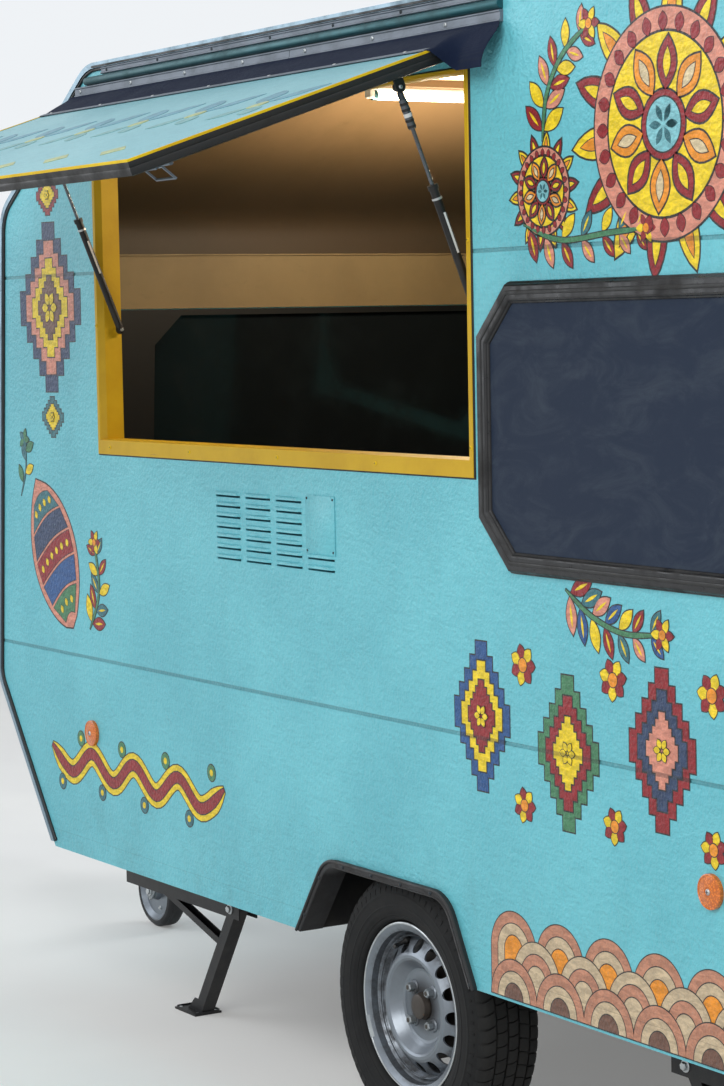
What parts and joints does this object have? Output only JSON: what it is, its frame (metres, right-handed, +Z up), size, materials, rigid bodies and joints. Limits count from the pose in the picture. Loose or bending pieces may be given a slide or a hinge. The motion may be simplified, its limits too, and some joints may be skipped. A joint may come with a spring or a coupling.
{
  "type": "food trailer",
  "caption": "Caravan food trailer with a lifting serving hatch on gas struts, menu board, entrance door, jockey wheel and corner steadies.",
  "frame": {"origin": "on the ground below the middle of the whole trailer", "axes": "+Z up, -X towards the drawbar, -Y towards the serving side"},
  "size_m": [5.0008, 2.835, 2.463],
  "materials": {
    "body_paint": "turquoise paint on textured sheet",
    "roof_sheet": "pale grey roof sheet",
    "plywood_floor": "coated plywood",
    "black_plastic": "matt black plastic",
    "yellow_paint": "yellow paint",
    "hatch_paint": "light blue paint",
    "bright_rail": "aluminium rail",
    "navy_canvas": "coated canvas",
    "black_rubber": "black rubber",
    "tinted_pane": "dark tinted acrylic",
    "slate_board": "chalk board",
    "galvanised": "galvanised steel",
    "black_steel": "black painted steel",
    "dark_iron": "brake drum iron",
    "silver_steel": "silver painted steel rim",
    "tyre_rubber": "tyre rubber",
    "strut_rod": "steel rod",
    "amber_lens": "amber reflector",
    "red_lens": "red lamp lens",
    "white_plate": "blank plate",
    "white_plastic": "milky roof light",
    "counter_board": "laminated board",
    "lamp_tube": "lamp cover"
  },
  "bodies": {
    "body": {"floor": "plywood_floor", "front_wall": "body_paint", "roof": "roof_sheet", "rear_wall": "body_paint", "serving_side_wall": "body_paint", "door_side_wall": "body_paint", "wheel_boxes": "black_plastic", "edge_mouldings": "black_plastic", "arch_trims": "black_plastic", "hatch_frame": "yellow_paint", "hatch_hinge": "galvanised", "hatch_rails": "bright_rail", "canvas_flap": "navy_canvas", "window_frames": "black_rubber", "window_panes": "tinted_pane", "board_frame": "black_rubber", "menu_board": "slate_board", "door_hinge_pins": "galvanised", "reflectors": "amber_lens", "tail_lamps": "red_lens", "blank_plate": "white_plate", "roof_light": "white_plastic", "counter": "counter_board", "ceiling_lamps": "lamp_tube", "chassis_rails": "galvanised", "cross_members": "galvanised", "axle_tube": "galvanised", "swing_arms": "galvanised", "overrun_device": "galvanised", "coupling_head": "black_steel", "handbrake_lever": "galvanised", "jockey_clamp": "galvanised", "steady_bases": "black_steel"},
    "hatch": {"hatch_door": "hatch_paint", "hatch_latches": "black_plastic"},
    "strut_tube_front": {"strut_tube_front": "black_steel"},
    "strut_tube_rear": {"strut_tube_rear": "black_steel"},
    "strut_rod_front": {"strut_rod_front": "strut_rod"},
    "strut_rod_rear": {"strut_rod_rear": "strut_rod"},
    "entrance_door": {"entrance_door": "body_paint", "door_handle": "black_plastic"},
    "wheel_left": {"wheel_rim_left": "silver_steel", "tyre_left": "tyre_rubber", "brake_drum_left": "dark_iron"},
    "wheel_right": {"wheel_rim_right": "silver_steel", "tyre_right": "tyre_rubber", "brake_drum_right": "dark_iron"},
    "jockey_tube": {"jockey_inner_tube": "galvanised"},
    "jockey_swivel": {"jockey_fork": "galvanised"},
    "jockey_roller": {"jockey_rim": "silver_steel", "jockey_tyre": "black_rubber"},
    "steady_leg_front_left": {"steady_leg_front_left": "black_steel"},
    "steady_brace_front_left": {"steady_brace_front_left": "black_steel"},
    "steady_leg_rear_left": {"steady_leg_rear_left": "black_steel"},
    "steady_brace_rear_left": {"steady_brace_rear_left": "black_steel"},
    "steady_leg_front_right": {"steady_leg_front_right": "black_steel"},
    "steady_brace_front_right": {"steady_brace_front_right": "black_steel"},
    "steady_leg_rear_right": {"steady_leg_rear_right": "black_steel"},
    "steady_brace_rear_right": {"steady_brace_rear_right": "black_steel"}
  },
  "joints": [
    {"name": "wheel_left_roll", "type": "hinge", "parent": "body", "child": "wheel_left", "pos_m": [0.8795, -0.56148, 0.293], "axis": [0, 1, 0], "continuous": true},
    {"name": "wheel_right_roll", "type": "hinge", "parent": "body", "child": "wheel_right", "pos_m": [0.8795, 1.27452, 0.293], "axis": [0, 1, 0], "continuous": true},
    {"name": "hatch_hinge", "type": "hinge", "parent": "body", "child": "hatch", "pos_m": [0.7145, -0.68348, 2.268], "axis": [1, 0, 0], "range_deg": [0, 71.5]},
    {"name": "strut_front_swing", "type": "hinge", "parent": "body", "child": "strut_tube_front", "pos_m": [-0.4005, -0.62348, 1.74], "axis": [1, 0, 0], "range_deg": [-16.78, 0]},
    {"name": "strut_front_stroke", "type": "slide", "parent": "strut_tube_front", "child": "strut_rod_front", "axis": [0, -0.3731, 0.9278], "range_m": [-0.10683, 0]},
    {"name": "strut_rear_swing", "type": "hinge", "parent": "body", "child": "strut_tube_rear", "pos_m": [1.1795, -0.62348, 1.74], "axis": [1, 0, 0], "range_deg": [-16.78, 0]},
    {"name": "strut_rear_stroke", "type": "slide", "parent": "strut_tube_rear", "child": "strut_rod_rear", "axis": [0, -0.3731, 0.9278], "range_m": [-0.10683, 0]},
    {"name": "entrance_door_hinge", "type": "hinge", "parent": "body", "child": "entrance_door", "pos_m": [1.3595, 1.38952, 1.315], "axis": [0, 0, 1], "range_deg": [0, 150]},
    {"name": "jockey_height", "type": "slide", "parent": "body", "child": "jockey_tube", "axis": [0, 0, 1], "range_m": [-0.15, 0.02]},
    {"name": "jockey_turn", "type": "hinge", "parent": "jockey_tube", "child": "jockey_swivel", "pos_m": [-1.3305, -0.03848, 0.232], "axis": [0, 0, 1], "continuous": true},
    {"name": "jockey_roll", "type": "hinge", "parent": "jockey_swivel", "child": "jockey_roller", "pos_m": [-1.3805, -0.03848, 0.105], "axis": [0, 1, 0], "continuous": true},
    {"name": "steady_front_left_fold", "type": "hinge", "parent": "body", "child": "steady_leg_front_left", "pos_m": [-0.1875, -0.44348, 0.305], "axis": [0, 1, 0], "range_deg": [0, 42]},
    {"name": "steady_front_left_brace", "type": "hinge", "parent": "steady_leg_front_left", "child": "steady_brace_front_left", "pos_m": [-0.25604, -0.44348, 0.20047], "axis": [0, 1, 0], "range_deg": [-53.08, 0]},
    {"name": "steady_rear_left_fold", "type": "hinge", "parent": "body", "child": "steady_leg_rear_left", "pos_m": [1.6165, -0.44348, 0.305], "axis": [0, -1, 0], "range_deg": [0, 42]},
    {"name": "steady_rear_left_brace", "type": "hinge", "parent": "steady_leg_rear_left", "child": "steady_brace_rear_left", "pos_m": [1.68505, -0.44348, 0.20047], "axis": [0, -1, 0], "range_deg": [-53.08, 0]},
    {"name": "steady_front_right_fold", "type": "hinge", "parent": "body", "child": "steady_leg_front_right", "pos_m": [-0.1875, 1.15652, 0.305], "axis": [0, 1, 0], "range_deg": [0, 42]},
    {"name": "steady_front_right_brace", "type": "hinge", "parent": "steady_leg_front_right", "child": "steady_brace_front_right", "pos_m": [-0.25604, 1.15652, 0.20047], "axis": [0, 1, 0], "range_deg": [-53.08, 0]},
    {"name": "steady_rear_right_fold", "type": "hinge", "parent": "body", "child": "steady_leg_rear_right", "pos_m": [1.6165, 1.15652, 0.305], "axis": [0, -1, 0], "range_deg": [0, 42]},
    {"name": "steady_rear_right_brace", "type": "hinge", "parent": "steady_leg_rear_right", "child": "steady_brace_rear_right", "pos_m": [1.68505, 1.15652, 0.20047], "axis": [0, -1, 0], "range_deg": [-53.08, 0]}
  ],
  "couplings": [
    {"joint": "strut_front_swing", "follows": "hatch_hinge", "ratio": -0.23394},
    {"joint": "strut_front_stroke", "follows": "hatch_hinge", "m_per_rad": -0.08521},
    {"joint": "strut_rear_swing", "follows": "hatch_hinge", "ratio": -0.23394},
    {"joint": "strut_rear_stroke", "follows": "hatch_hinge", "m_per_rad": -0.08521},
    {"joint": "steady_front_left_brace", "follows": "steady_front_left_fold", "ratio": -1.2615},
    {"joint": "steady_rear_left_brace", "follows": "steady_rear_left_fold", "ratio": -1.2615},
    {"joint": "steady_front_right_brace", "follows": "steady_front_right_fold", "ratio": -1.2615},
    {"joint": "steady_rear_right_brace", "follows": "steady_rear_right_fold", "ratio": -1.2615}
  ]
}
